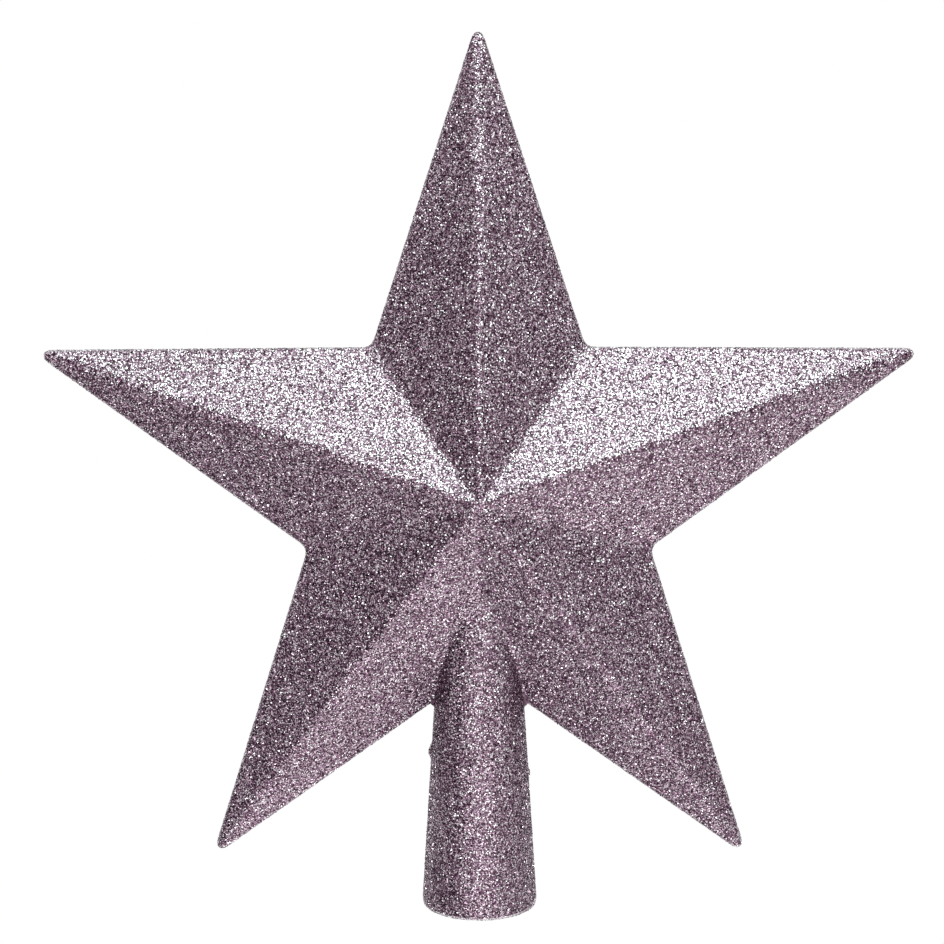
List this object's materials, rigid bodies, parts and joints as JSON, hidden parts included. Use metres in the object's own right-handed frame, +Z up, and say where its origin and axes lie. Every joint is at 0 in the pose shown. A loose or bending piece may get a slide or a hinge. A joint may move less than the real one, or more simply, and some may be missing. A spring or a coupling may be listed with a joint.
{
  "type": "tree topper star",
  "caption": "Hollow faceted star ornament, covered in mauve glitter, with a tapered socket below that slips over the top shoot of a tree.",
  "frame": {"origin": "centre of the socket's mouth, on the plane of its rim", "axes": "+Z up the tree along the socket's axis, towards the top point; the front of the star faces -Y; +X to the right of someone who looks at the front"},
  "size_m": [0.187, 0.0348, 0.1899],
  "materials": {
    "shell_plastic": "moulded polystyrene, mauve, satin",
    "cement": "set solvent cement, clear to whitish",
    "lacquer": "tinted lacquer, glossy, under the glitter",
    "glitter": "metallised film flakes, pale mauve and silver, randomly tilted"
  },
  "bodies": {
    "root": {"front_shell": "shell_plastic", "rear_shell": "shell_plastic", "seam_cement": "cement", "lacquer_coat": "lacquer", "glitter_coat": "glitter"}
  },
  "joints": []
}
